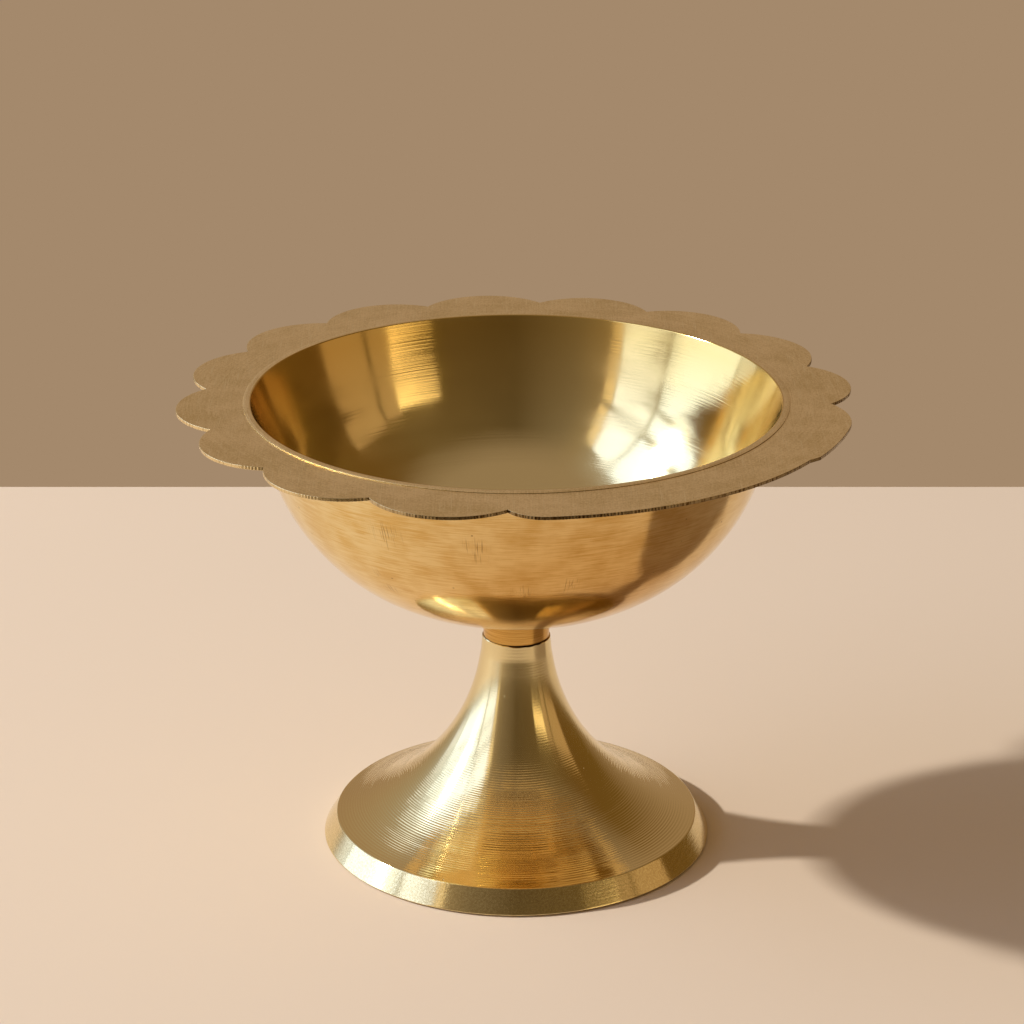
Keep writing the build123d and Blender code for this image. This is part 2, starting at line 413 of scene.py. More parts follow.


# %% [markdown]
# ## Satin brass
# Outside, the bowl was only cleaned with fine abrasive while it turned, and it has warmed in
# colour since. In front it is painted darker and more orange still, as painted shade. It still
# shows the floor and its own shadow, but softly. Fine lines run round it for a centimetre or so
# each. In a few places a tool or a knock left short upright nicks: each such spot is a soft ball of
# space, and inside it the peaks of strokes that run up the wall are painted darker. A few dark
# specks are the middles of Voronoi cells. The collar is of the same make; its colour is painted
# deeper and darker, as painted shade under the bowl.

# %% Satin brass
NICKED_SPOTS = (  # place on the bowl and reach, in millimetres
    ((-19.7, -34.0, 65.4), 3.4),
    ((-6.1, -38.5, 64.8), 3.0),
    ((0.6, -35.0, 56.6), 2.2),
    ((8.1, -34.8, 57.7), 2.2),
    ((-21.8, -28.0, 57.4), 1.6),
    ((-19.1, -27.0, 54.0), 1.6),
    ((26.0, 28.0, 64.0), 3.2),
    ((-30.0, 20.0, 62.0), 2.8),
)
# painted shade: inside this soft ball, low on the front of the bowl, the colour is painted darker and more
# orange
PAINTED_SHADE_AT, PAINTED_SHADE_REACH = (9.0, -31.0, 55.0), 36.0
PAINTED_SHADE_SHARE = 0.62  # how much of the metal's own colour it takes away at most
UP_THE_WALL = (0.7, 0.7)  # the outline's way, outwards and up, half way up the bowl
BALL_CORE = 0.3  # share of a soft ball's reach that has its full strength


def soft_ball(tree, place, centre, reach):
    """One inside a ball, fading to nothing at its edge."""
    away = add(tree, "VectorMath", {0: place, 1: Vector(centre) * MM}, operation="DISTANCE")
    core = BALL_CORE * reach * MM
    return add(tree, "MapRange", {0: away.outputs["Value"], 1: reach * MM, 2: core}).outputs[0]


satin_brass, tree, shader = brass_tree("spun_brass_satin_outside", "#ECCD86", 0.11, 0.6)
place = add(tree, "TexCoord").outputs["Object"]
spots = None
for spot, reach in NICKED_SPOTS:
    inside = soft_ball(tree, place, spot, reach)
    if spots:
        inside = add(tree, "Math", {0: spots, 1: inside}, operation="MAXIMUM").outputs[0]
    spots = inside
upright = strokes(tree, UP_THE_WALL, 4.0, 210)
cuts = add(tree, "MapRange", {0: upright, 1: 0.56, 2: 0.66, 3: 0.0, 4: 0.62})
cut_spots = add(tree, "Math", {0: spots, 1: cuts.outputs[0]}, operation="MULTIPLY")
specks = add(tree, "TexVoronoi", {"Vector": place, "Scale": 1 / (3.5 * MM)})
dots = add(tree, "MapRange", {0: specks.outputs["Distance"], 1: 0.03, 2: 0.06, 3: 0.6, 4: 0.0})
nicks = add(tree, "Math", {0: cut_spots.outputs[0], 1: dots.outputs[0]}, operation="MAXIMUM")
brushed = strokes(tree, UP_THE_WALL, 0.2, 9)
blotches = add(tree, "TexNoise", {"Vector": place, "Scale": 1 / (5 * MM), "Detail": 5.0})
patchy = add(tree, "Math", {0: brushed, 1: blotches.outputs["Fac"]}, operation="ADD")
warmth = add(tree, "MapRange", {0: patchy.outputs[0], 1: 0.8, 2: 1.25, 3: 0.0, 4: 1.0})
metal = add(
    tree, "Mix", {0: warmth.outputs[0], 6: linear("#F6E2AA"), 7: linear("#E6C47A")}, data_type="RGBA"
)
# painted shade: a darker, more orange copy of the metal, mixed in inside that ball
shaded_front_metal = add(
    tree, "Mix", {0: warmth.outputs[0], 6: linear("#D49C40"), 7: linear("#B07820")}, data_type="RGBA"
)
where = soft_ball(tree, place, PAINTED_SHADE_AT, PAINTED_SHADE_REACH)
painted_shade_and_tarnish = add(tree, "Math", {0: where, 1: PAINTED_SHADE_SHARE}, operation="MULTIPLY")
front_painted_shade = add(
    tree, "Mix", {0: painted_shade_and_tarnish.outputs[0], 6: metal.outputs[2], 7: shaded_front_metal.outputs[2]}, data_type="RGBA"
)
worn = add(tree, "Mix", {0: nicks.outputs[0], 6: front_painted_shade.outputs[2], 7: linear("#6E4E24")}, data_type="RGBA")
tree.links.new(worn.outputs[2], shader.inputs["Base Color"])
dull = add(tree, "MapRange", {0: blotches.outputs["Fac"], 1: 0.3, 2: 0.75, 3: 0.075, 4: 0.13})
tree.links.new(dull.outputs[0], shader.inputs["Roughness"])
dug = add(tree, "Math", {0: brushed, 1: nicks.outputs[0]}, operation="SUBTRACT")
line_bump = add(tree, "Bump", {"Height": dug.outputs[0], "Distance": 0.008 * MM, "Strength": 1.0})
swell = add(tree, "TexNoise", {"Vector": place, "Scale": 1 / (6 * MM), "Detail": 1.0})
swell_bump = add(tree, "Bump", {
    "Height": swell.outputs["Fac"], "Distance": 0.08 * MM, "Strength": 1.0,
    "Normal": line_bump.outputs["Normal"],
})
tree.links.new(swell_bump.outputs["Normal"], shader.inputs["Normal"])
print(satin_brass.name, len(tree.nodes), "nodes")

# %% Collar brass
# painted shade: the collar is the bowl's brass painted darker and more orange, for the shade under the bowl
collar_brass, tree, shader = brass_tree("turned_brass_collar", "#D9A650", 0.2, 0.6)
grooves = strokes(tree, (0, 1), 0.16, 0.8)
tone = add(tree, "MapRange", {0: grooves, 1: 0.38, 2: 0.62, 3: 0.0, 4: 1.0})
gold = add(tree, "Mix", {0: tone.outputs[0], 6: linear("#DCB064"), 7: linear("#C6984E")}, data_type="RGBA")
tree.links.new(gold.outputs[2], shader.inputs["Base Color"])
groove_bump = add(tree, "Bump", {"Height": grooves, "Distance": 0.01 * MM, "Strength": 1.0})
tree.links.new(groove_bump.outputs["Normal"], shader.inputs["Normal"])
print(collar_brass.name, len(tree.nodes), "nodes")


# %% [markdown]
# ## Sanded sheet
# The rim is rolled sheet. It was rubbed with sandpaper while the bowl turned, so its finest lines
# run round the mouth, and then by hand, which left straight scratches that cross them. Real ones
# are finer than a pixel here, so these are drawn about four times as coarse. A fine grain breaks
# the lines up, so they are only just seen, a slow noise makes patches, and the deepest scratches
# show bare metal, brighter than the rest.

# %% Sanded sheet
SCRATCH_WIDTH, SCRATCH_LENGTH = 0.12, 9.0
SCRATCH_BEARINGS = (52, 82, 97, 140)  # degrees: the ways the hand went
sanded_brass, tree, shader = brass_tree("sanded_brass_sheet", "#EBDCAC", 0.4)
place = add(tree, "TexCoord").outputs["Object"]
patches = add(tree, "TexNoise", {"Vector": place, "Scale": 1 / (6 * MM), "Detail": 3.0})
arcs = strokes(tree, (1, 0), 0.24, 4)
grain = add(tree, "TexNoise", {"Vector": place, "Scale": 1 / (0.32 * MM), "Detail": 2.0})
rubbed = add(tree, "Math", {0: arcs, 1: 0.5, 2: grain.outputs["Fac"]}, operation="MULTIPLY_ADD")
bare = None
for angle in SCRATCH_BEARINGS:
    stroke = add(tree, "Mapping", {
        "Vector": place, "Rotation": (0, 0, radians(angle)),
        "Scale": (1 / (SCRATCH_WIDTH * MM), 1 / (SCRATCH_LENGTH * MM), 1 / (2 * MM)),
    })
    scratch = add(tree, "TexNoise", {"Vector": stroke.outputs[0], "Scale": 1.0, "Detail": 1.0})
    deep = add(tree, "MapRange", {0: scratch.outputs["Fac"], 1: 0.68, 2: 0.78, 3: 0.0, 4: 0.8})
    bare = add(tree, "Math", {0: deep.outputs[0], 1: bare.outputs[0] if bare else 0.0}, operation="MAXIMUM")
    rubbed = add(
        tree, "Math", {0: scratch.outputs["Fac"], 1: 0.25, 2: rubbed.outputs[0]}, operation="MULTIPLY_ADD"
    )
scratch_bump = add(tree, "Bump", {"Height": rubbed.outputs[0], "Distance": 0.012 * MM, "Strength": 1.0})
tree.links.new(scratch_bump.outputs["Normal"], shader.inputs["Normal"])
matt = add(tree, "MapRange", {0: patches.outputs["Fac"], 1: 0.3, 2: 0.7, 3: 0.37, 4: 0.43})
tree.links.new(matt.outputs[0], shader.inputs["Roughness"])
mixed = add(tree, "Math", {0: rubbed.outputs[0], 1: patches.outputs["Fac"]}, operation="ADD")
tone = add(tree, "MapRange", {0: mixed.outputs[0], 1: 1.45, 2: 2.05, 3: 0.0, 4: 1.0})
shade = add(tree, "Mix", {0: tone.outputs[0], 6: linear("#F7E5BC"), 7: linear("#D4BD89")}, data_type="RGBA")
bright = add(tree, "Mix", {0: bare.outputs[0], 6: shade.outputs[2], 7: linear("#FBF0D0")}, data_type="RGBA")
tree.links.new(bright.outputs[2], shader.inputs["Base Color"])
print(sanded_brass.name, len(tree.nodes), "nodes")


# %% [markdown]
# ## Filed edge
# A saw and then a coarse file went round the sheet's edge, always square to it, so the marks stand
# upright. Dirt stays in the deepest of them. On the front and right of the rim, the side away from
# the lamps on the left, the edge is painted dark brown as painted shade.

# %% Filed edge
PAINTED_SHADE_SIDE = (0.857, -0.514, 0.0)  # which way the edge's painted shade lies, away from the lamps on the left
FILE_TOOTH = 0.35  # from one mark of the file to the next
filed_brass, tree, shader = brass_tree("filed_brass_edge", "#E0C48C", 0.2)
place = add(tree, "TexCoord").outputs["Object"]
tooth_scale = (1 / (FILE_TOOTH * MM), 1 / (FILE_TOOTH * MM), 1 / (5 * MM))
upright = add(tree, "Mapping", {"Vector": place, "Scale": tooth_scale})
teeth = add(tree, "TexNoise", {"Vector": upright.outputs[0], "Scale": 1.0, "Detail": 2.0})
tooth_bump = add(tree, "Bump", {"Height": teeth.outputs["Fac"], "Distance": 0.02 * MM, "Strength": 1.0})
tree.links.new(tooth_bump.outputs["Normal"], shader.inputs["Normal"])
dirt = add(tree, "MapRange", {0: teeth.outputs["Fac"], 1: 0.36, 2: 0.5, 3: 0.38, 4: 0.0})
# painted shade: the edge is painted brown on its front and right, away from the lamps
towards = add(tree, "VectorMath", {0: place, 1: PAINTED_SHADE_SIDE}, operation="DOT_PRODUCT")
edge_painted_shade = add(tree, "MapRange", {0: towards.outputs["Value"], 1: -8 * MM, 2: 22 * MM, 3: 0.0, 4: 0.75})
dark = add(tree, "Math", {0: dirt.outputs[0], 1: edge_painted_shade.outputs[0]}, operation="ADD", use_clamp=True)
edge_shade = add(
    tree, "Mix", {0: dark.outputs[0], 6: linear("#EAD4A2"), 7: linear("#5E4420")}, data_type="RGBA"
)
tree.links.new(edge_shade.outputs[2], shader.inputs["Base Color"])
print(filed_brass.name, len(tree.nodes), "nodes")


# %% [markdown]
# ## Turned casting
# The foot is a casting that was turned and then buffed. The tool was fed along by hand and left a
# ripple of about half a millimetre, as on a record. It is deepest on the skirt and nearly buffed
# away on the neck. A sine of the way along the outline makes it; down the trumpet the radius grows
# as the height falls, so radius less height is close to that way. A slow noise keeps the spacing
# from being perfect. A casting also has a few gas pores, which sparkle where they are cut open. The
# sloped band at the bottom was polished finer. Underneath, the casting still has its sand skin.

# %% Turned casting
RIPPLE = 0.56  # from one ring to the next
UNEVEN = 14.0  # how far, in radians, the slow noise pushes the rings along
BUFFED, RIPPLED = 22.0, 9.0  # the rings are nearly gone above one height and full below the other
turned_brass, tree, shader = brass_tree("cast_brass_lathe_turned", "#EDDCAA", 0.11, 0.85)
rings = lathe_coordinates(tree, wobble=0.06)
down = Vector((1, 0, -1)) * 2 * pi / (RIPPLE * MM)
way = add(tree, "VectorMath", {0: rings, 1: down}, operation="DOT_PRODUCT")
zones = add(tree, "TexNoise", {"Vector": rings, "Scale": 1 / (3 * MM), "Detail": 2.0})
phase = add(
    tree, "Math", {0: zones.outputs["Fac"], 1: UNEVEN, 2: way.outputs["Value"]}, operation="MULTIPLY_ADD"
)
ripple = add(tree, "Math", {0: phase.outputs[0]}, operation="SINE")
lines = add(tree, "TexNoise", {"Vector": rings, "Scale": 1 / (0.25 * MM), "Detail": 1.0})
uneven = add(tree, "Math", {0: lines.outputs["Fac"], 1: 2.0, 2: ripple.outputs[0]}, operation="MULTIPLY_ADD")
depth = add(tree, "MapRange", {0: zones.outputs["Fac"], 1: 0.35, 2: 0.6, 3: 0.6, 4: 1.0})
height = add(tree, "SeparateXYZ", {0: rings})
low_down = add(tree, "MapRange", {0: height.outputs["Z"], 1: BUFFED * MM, 2: RIPPLED * MM, 3: 0.08, 4: 1.0})
kept = add(tree, "Math", {0: depth.outputs[0], 1: low_down.outputs[0]}, operation="MULTIPLY")
combed = add(tree, "Math", {0: uneven.outputs[0], 1: kept.outputs[0]}, operation="MULTIPLY")
place = add(tree, "TexCoord").outputs["Object"]
gas = add(tree, "TexVoronoi", {"Vector": place, "Scale": 1 / (2.8 * MM)})
pores = add(tree, "MapRange", {0: gas.outputs["Distance"], 1: 0.02, 2: 0.045, 3: -4.0, 4: 0.0})
pitted = add(tree, "Math", {0: combed.outputs[0], 1: pores.outputs[0]}, operation="ADD")
line_bump = add(tree, "Bump", {"Height": pitted.outputs[0], "Distance": 0.009 * MM, "Strength": 1.0})
tree.links.new(line_bump.outputs["Normal"], shader.inputs["Normal"])
haze = add(tree, "MapRange", {0: low_down.outputs[0], 1: 0.1, 2: 1.0, 3: 0.16, 4: 0.1})
tree.links.new(haze.outputs[0], shader.inputs["Roughness"])
print(turned_brass.name, len(tree.nodes), "nodes")

# %% Polished band and sand skin
band_brass, tree, shader = brass_tree("turned_brass_polished_band", BRASS, 0.14, 0.85)
rings = lathe_coordinates(tree, wobble=0.05)
lines = add(tree, "TexNoise", {"Vector": rings, "Scale": 1 / (0.3 * MM), "Detail": 2.0})
line_bump = add(tree, "Bump", {"Height": lines.outputs["Fac"], "Distance": 0.006 * MM, "Strength": 1.0})
place = add(tree, "TexCoord").outputs["Object"]
grit = add(tree, "TexNoise", {"Vector": place, "Scale": 1 / (0.3 * MM), "Detail": 1.0})
speck = add(tree, "MapRange", {0: grit.outputs["Fac"], 1: 0.35, 2: 0.65, 3: 0.0, 4: 1.0})
speckled = add(
    tree, "Mix", {0: speck.outputs[0], 6: linear("#F3E4B4"), 7: linear("#E2CF9C")}, data_type="RGBA"
)
tree.links.new(speckled.outputs[2], shader.inputs["Base Color"])
grit_bump = add(tree, "Bump", {
    "Height": grit.outputs["Fac"], "Distance": 0.006 * MM, "Strength": 1.0,
    "Normal": line_bump.outputs["Normal"],
})
tree.links.new(grit_bump.outputs["Normal"], shader.inputs["Normal"])

skin_brass, tree, shader = brass_tree("cast_brass_sand_skin", "#B99A5E", 0.5)
place = add(tree, "TexCoord").outputs["Object"]
sand = add(tree, "TexNoise", {"Vector": place, "Scale": 1 / (0.6 * MM), "Detail": 3.0})
sand_bump = add(tree, "Bump", {"Height": sand.outputs["Fac"], "Distance": 0.15 * MM, "Strength": 1.0})
tree.links.new(sand_bump.outputs["Normal"], shader.inputs["Normal"])
painted_shade_and_tarnish = add(
    tree, "Mix", {0: sand.outputs["Fac"], 6: linear("#8F7138"), 7: linear("#CDB074")}, data_type="RGBA"
)
tree.links.new(painted_shade_and_tarnish.outputs[2], shader.inputs["Base Color"])
print(band_brass.name, skin_brass.name)


# %% [markdown]
# ## Thread and leather
# The stud was cut with a die and is only seen when the bowl is unscrewed. The washer is a scrap of
# leather, dark with years of butter: not a metal, rough, with a fine pebbled grain.

# %% Thread and leather
thread_brass, tree, shader = brass_tree("die_cut_brass_thread", "#E6CC8C", 0.22)
rings = lathe_coordinates(tree)
lines = add(tree, "TexNoise", {"Vector": rings, "Scale": 1 / (0.12 * MM), "Detail": 2.0})
line_bump = add(tree, "Bump", {"Height": lines.outputs["Fac"], "Distance": 0.004 * MM, "Strength": 1.0})
tree.links.new(line_bump.outputs["Normal"], shader.inputs["Normal"])

leather = bpy.data.materials.new("oiled_leather")
leather.use_nodes = True
tree = leather.node_tree
shader = tree.nodes["Principled BSDF"]
place = add(tree, "TexCoord").outputs["Object"]
grain = add(tree, "TexVoronoi", {"Vector": place, "Scale": 1 / (0.3 * MM)})
hide = add(
    tree, "Mix", {0: grain.outputs["Distance"], 6: linear("#4C3626"), 7: linear("#2A1E15")}, data_type="RGBA"
)
tree.links.new(hide.outputs[2], shader.inputs["Base Color"])
grain_bump = add(tree, "Bump", {"Height": grain.outputs["Distance"], "Distance": 0.03 * MM, "Strength": 1.0})
tree.links.new(grain_bump.outputs["Normal"], shader.inputs["Normal"])
shader.inputs["Roughness"].default_value = 0.65
print(thread_brass.name, leather.name)


# %% [markdown]
# ## Bowl
# The bowl was spun over a former: a flat floor, one round belly, and a straight flared wall. Its
# section is a thin closed loop. The belly arc inside shares its centre with the one outside, so
# the wall keeps its thickness.

# %% Bowl
rim_r, bowl_z, rim_z = node_size("bowl")
stud_r, stud_low, floor_z = node_size("threaded_stud")
BOWL_WALL = floor_z - bowl_z
WALL_LEAN = radians(20.8)  # flare of the straight wall from upright
BELLY_R = 33.74  # outside of the belly
SOLDER_GAP = 0.03
LIP_FALL = 0.1  # the lip is filed down towards the flange
LIP_FILED = 0.45  # over this width
LIP_ROW = 0.3  # a row of points this far under the rim keeps the wall's shading flat
LIP_SANDED = 0.2  # the rim's top is sanded down to here
LIP_POLISHED = 0.14  # but its inner edge is polished
BELLY_STEPS = 64

hole_r = stud_r + SOLDER_GAP
mouth_r = rim_r - BOWL_WALL / cos(WALL_LEAN)
belly_angle = pi / 2 - WALL_LEAN
belly_r = rim_r - (rim_z - bowl_z) * tan(WALL_LEAN) - BELLY_R * tan(belly_angle / 2)
belly_z = bowl_z + BELLY_R

bm = bmesh.new()
start = begin(bm, hole_r, bowl_z)
last = straight(bm, start, belly_r, bowl_z)
last = arc(bm, last, belly_r, belly_z, belly_angle, BELLY_STEPS)
last = straight(bm, last, rim_r - LIP_ROW * tan(WALL_LEAN), rim_z - LIP_ROW)
outer_lip = straight(bm, last, rim_r - LIP_FALL * tan(WALL_LEAN), rim_z - LIP_FALL)
last = straight(bm, outer_lip, rim_r - LIP_FILED, rim_z)
inner_lip = straight(bm, last, mouth_r, rim_z)
inner_r = BELLY_R - BOWL_WALL
last = straight(bm, inner_lip, belly_r + inner_r * sin(belly_angle), belly_z - inner_r * cos(belly_angle))
last = arc(bm, last, belly_r, belly_z, -belly_angle, BELLY_STEPS)
last = straight(bm, last, hole_r, floor_z)
close(bm, last, start)
break_corners(bm, [outer_lip], 0.04)
break_corners(bm, [inner_lip], 0.15, segments=3)
turn(bm)
mouth_centre = Vector((0, 0, rim_z * MM))
for face in bm.faces:
    middle = face.calc_center_median()
    looks_in = face.normal.dot(mouth_centre - middle) > 0
    face.material_index = 0 if looks_in else 1
    if middle.z > (rim_z - LIP_SANDED) * MM and middle.xy.length > (mouth_r + LIP_POLISHED) * MM:
        face.material_index = 2
finish_piece(
    bm, "bowl_shell", "bowl", "bowl", [polished_brass, satin_brass, sanded_brass]
)


# %% [markdown]
# ## Scalloped rim
# The rim is a flat ring of sheet. Its lobes were spaced by eye, so the bearing of each notch is
# given, and every lobe is an arc through two notches and a tip between them. The arcs are spun,
# vertex by vertex, about their own centres. The ring is made by extruding that outline inwards to
# the bowl, and its thickness by a second extrusion. Saw and file left the edge rough, so each of
# its points is drawn back by a few hundredths of a millimetre.

# %% Rim outline
NOTCHES = (-3.5, 18.0, 41.0, 63.4, 85.3, 107.7, 130.0, 152.6, 175.3, 197.8, 220.2, 244.1, 268.5)
LOBE_TIPS = rim_r + 10.5
NOTCH_R = LOBE_TIPS - 4.1  # how far out the notches lie
PLAIN_LOW = LOBE_TIPS - 1.0  # the plain stretch, before the step in it
PLAIN_HIGH = PLAIN_LOW + 0.7
STEP_FROM, STEP_TO = 327.0, 329.0
LAST_CORNER, FIRST_CORNER = 6.5, 11.5  # angles that round the plain stretch into its notches
EDGE_STEP = 0.26  # spacing of points along the edge: two to a tooth of the saw

_, flange_low, flange_high = node_size("rim_flange")


def rim_point(radius, bearing):
    """A point of the sheet, on its upper face."""
    return Vector((radius * cos(radians(bearing)), radius * sin(radians(bearing)), flange_high)) * MM


def lobe_centre(tip_r, half):
    """How far out the centre lies of the arc from a tip to a notch that is half a lobe away."""
    return (tip_r**2 - NOTCH_R**2) / (2 * (tip_r - NOTCH_R * cos(radians(half))))


def lobe_sweep(tip_r, half):
    """The angle of that arc about its own centre."""
    along = NOTCH_R * cos(radians(half)) - lobe_centre(tip_r, half)
    return atan2(NOTCH_R * sin(radians(half)), along)


def saw(bm, last, centre, sweep, radius):
    """Carries the sheet's edge on about a centre."""
    steps = ceil(sweep * radius / EDGE_STEP)
    made = bmesh.ops.spin(bm, geom=[last], cent=centre, axis=(0, 0, 1), angle=sweep, steps=steps)
    return next(part for part in made["geom_last"] if isinstance(part, bmesh.types.BMVert))


bm = bmesh.new()
last = bm.verts.new(rim_point(NOTCH_R, NOTCHES[0]))
for left, right in zip(NOTCHES, NOTCHES[1:]):
    half = (right - left) / 2
    out = lobe_centre(LOBE_TIPS, half)
    last = saw(bm, last, rim_point(out, left + half), 2 * lobe_sweep(LOBE_TIPS, half), LOBE_TIPS - out)
plain_from = NOTCHES[-1] + LAST_CORNER
plain_to = NOTCHES[0] + 360 - FIRST_CORNER
out = lobe_centre(PLAIN_LOW, LAST_CORNER)
last = saw(bm, last, rim_point(out, plain_from), lobe_sweep(PLAIN_LOW, LAST_CORNER), PLAIN_LOW - out)
last = saw(bm, last, rim_point(0, 0), radians(STEP_FROM - plain_from), PLAIN_LOW)
step = bm.verts.new(rim_point(PLAIN_HIGH, STEP_TO))
bm.edges.new((last, step))
last = saw(bm, step, rim_point(0, 0), radians(plain_to - STEP_TO), PLAIN_HIGH)
out = lobe_centre(PLAIN_HIGH, FIRST_CORNER)
last = saw(bm, last, rim_point(out, plain_to), lobe_sweep(PLAIN_HIGH, FIRST_CORNER), PLAIN_HIGH - out)
bmesh.ops.remove_doubles(bm, verts=bm.verts, dist=0.02 * MM)  # joins the two ends
print("rim outline:", len(bm.verts), "points,", len(bm.edges), "edges")

# %% Rim sheet
hole_high = rim_r - (rim_z - flange_high) * tan(WALL_LEAN) + SOLDER_GAP
hole_low = rim_r - (rim_z - flange_low) * tan(WALL_LEAN) + SOLDER_GAP
SAW_MARKS = 0.05  # how deep saw and file cut into the edge
MEAN_BITE, LEAST_BITE = 0.65, 0.15  # shares of that depth
BITE_LENGTH = 5.0  # the way along which the saw's bite changes
LOWER_MARKS = 0.3  # share of the depth that the lower edge has of its own
EDGE_BREAK = 0.06
EDGE_FROM = rim_r + 2.0  # all of the outer edge lies beyond this


def bearing(vertex):
    """Where a point lies round the rim."""
    return atan2(vertex.co.y, vertex.co.x)


def draw_back(vertex, depth):
    """Moves a point of the edge towards the axis."""
    reach = vertex.co.xy.length
    vertex.co.xy *= (reach - depth * MM) / reach


for count, vertex in enumerate(sorted(bm.verts, key=bearing)):
    bite = MEAN_BITE + noise.noise(vertex.co / (BITE_LENGTH * MM))
    draw_back(vertex, SAW_MARKS * max(LEAST_BITE, min(1.0, bite)) * (count % 2))
ring = bmesh.ops.extrude_edge_only(bm, edges=bm.edges[:])
for part in ring["geom"]:
    if isinstance(part, bmesh.types.BMVert):
        part.co.xy *= hole_high * MM / part.co.xy.length
top = bm.faces[:]
body = bmesh.ops.extrude_face_region(bm, geom=top)
lower = [part for part in body["geom"] if isinstance(part, bmesh.types.BMVert)]
bmesh.ops.translate(bm, verts=lower, vec=(0, 0, (flange_low - flange_high) * MM))
for vertex in lower:
    reach = vertex.co.xy.length
    if reach < rim_r * MM:
        vertex.co.xy *= hole_low * MM / reach
    else:
        draw_back(vertex, LOWER_MARKS * SAW_MARKS * abs(noise.noise(vertex.co / (0.8 * MM))))
bmesh.ops.recalc_face_normals(bm, faces=bm.faces)
rim_edges = [
    edge for edge in bm.edges
    if min(end.co.xy.length for end in edge.verts) > EDGE_FROM * MM and edge.calc_face_angle() > radians(60)
    and abs(edge.verts[0].co.z - edge.verts[1].co.z) < 0.1 * MM
]
bmesh.ops.bevel(
    bm, geom=rim_edges, offset=EDGE_BREAK * MM, segments=2, profile=0.5, affect="EDGES", material=-1
)
for face in bm.faces:
    face.material_index = 0 if abs(face.normal.z) > 0.9 else 1
finish_piece(
    bm, "scalloped_rim", "rim_flange", "bowl", [sanded_brass, filed_brass]
)


# %% [markdown]
# ## Collar
# A short turned sleeve between the bowl and the seam, rounded out to meet the bowl. Where it was
# cut to length the tool left a small burr, which hangs over the washer and makes the seam a thin,
# uneven line. The foot's neck has one too, higher on the left, where it nearly closes the seam.

# %% Collar
collar_top_r, collar_z, collar_top_z = node_size("neck_collar")
COVE_R = 1.2
COVE_LIP = 0.15
BURR = 0.12  # how far a burr stands out
BURR_GRAIN = 0.9  # the way along which it rises and falls
BURR_FROM, BURR_TIP = 0.16, 0.06  # where it starts and where it is lowest, in from the collar's side
collar_r = collar_top_r - COVE_R


def roughen(bm, low, high, amount):
    """Moves the points of an edge, between two heights, up or down by a little."""
    for vertex in bm.verts:
        if low * MM < vertex.co.z < high * MM:
            vertex.co.z += amount * MM * noise.noise(vertex.co / (BURR_GRAIN * MM))


bm = bmesh.new()
start = begin(bm, hole_r, collar_top_z)
last = straight(bm, start, hole_r, collar_z)
last = straight(bm, last, collar_r - BURR_FROM, collar_z)
last = straight(bm, last, collar_r - BURR_TIP, collar_z - 0.3 * BURR)
last = straight(bm, last, collar_r, collar_z - 0.15 * BURR)
last = straight(bm, last, collar_r, collar_top_z - COVE_LIP - COVE_R)
last = arc(bm, last, collar_top_r, collar_top_z - COVE_LIP - COVE_R, -pi / 2, 10)
last = straight(bm, last, collar_top_r, collar_top_z)
close(bm, last, start)
turn(bm)
roughen(bm, collar_z - 2 * BURR, collar_z - 0.1 * BURR, 0.3 * BURR)
finish_piece(bm, "turned_collar", "neck_collar", "bowl", [collar_brass])


# %% [markdown]
# ## Stud
# A short brass screw, fixed in the bowl. Its lower end is threaded and its top end is drilled for
# the wick. The thread starts as a plain turned bar with many rings of vertices, and each vertex is
# then drawn in by where it lies on the helix. A helix that is spun on its own would be left open
# at both ends; this way the bar stays closed and the thread can fade out as a real one does.

# %% Stud
PITCH = 1.0
THREAD_DEPTH = 0.61
THREAD_ROWS = 12  # rings of vertices to one turn
LEAD_IN = 0.6
WICK_R, WICK_DEPTH = 1.5, 5.0
DRILL_POINT = 0.6  # the drill leaves a shallow cone
CREST, FLANK = 0.12, 0.7  # flat top and sloping side of the thread, as shares of half a pitch
FADE = 0.8  # the thread runs out over this share of a pitch
WASHER_T = 0.35
thread_top = collar_z - WASHER_T

bm = bmesh.new()
tip = begin(bm, 0, stud_low)
last = straight(bm, tip, stud_r - LEAD_IN, stud_low)
last = straight(bm, last, stud_r, stud_low + LEAD_IN)
threaded = thread_top - stud_low - LEAD_IN
rows = round(threaded / PITCH * THREAD_ROWS)
for row in range(rows):
    last = straight(bm, last, stud_r, stud_low + LEAD_IN + threaded * (row + 1) / rows)
last = straight(bm, last, stud_r, floor_z)
wick_edge = straight(bm, last, WICK_R, floor_z)
last = straight(bm, wick_edge, WICK_R, floor_z - WICK_DEPTH)
straight(bm, last, 0, floor_z - WICK_DEPTH - DRILL_POINT)
break_corners(bm, [wick_edge], 0.15)
turn(bm)
for vertex in bm.verts:
    reach = vertex.co.xy.length / MM
    height = vertex.co.z / MM
    if reach > stud_r - LEAD_IN - 0.01 and height < thread_top + 0.01:
        phase = height / PITCH - atan2(vertex.co.y, vertex.co.x) / (2 * pi)
        ridge = abs(2 * (phase - floor(phase)) - 1)
        flank = min(1.0, max(0.0, (ridge - CREST) / FLANK))
        fade = min(1.0, (thread_top - height) / (FADE * PITCH))
        thread_r = stud_r - THREAD_DEPTH * flank * fade
        vertex.co.xy *= min(reach, thread_r) / reach
bmesh.ops.recalc_face_normals(bm, faces=bm.faces)
finish_piece(bm, "threaded_stud_bar", "threaded_stud", "bowl", [thread_brass])


# %% [markdown]
# ## Washer
# A thin ring of oiled leather, squeezed in the seam and set back from its edges, so the seam shows
# as a dark line. Squeezing makes its edge bulge, so the outer wall is an arc.

# %% Washer
washer_r, washer_low, washer_high = node_size("seat_washer")
WASHER_GAP = 0.15
thick = washer_high - washer_low

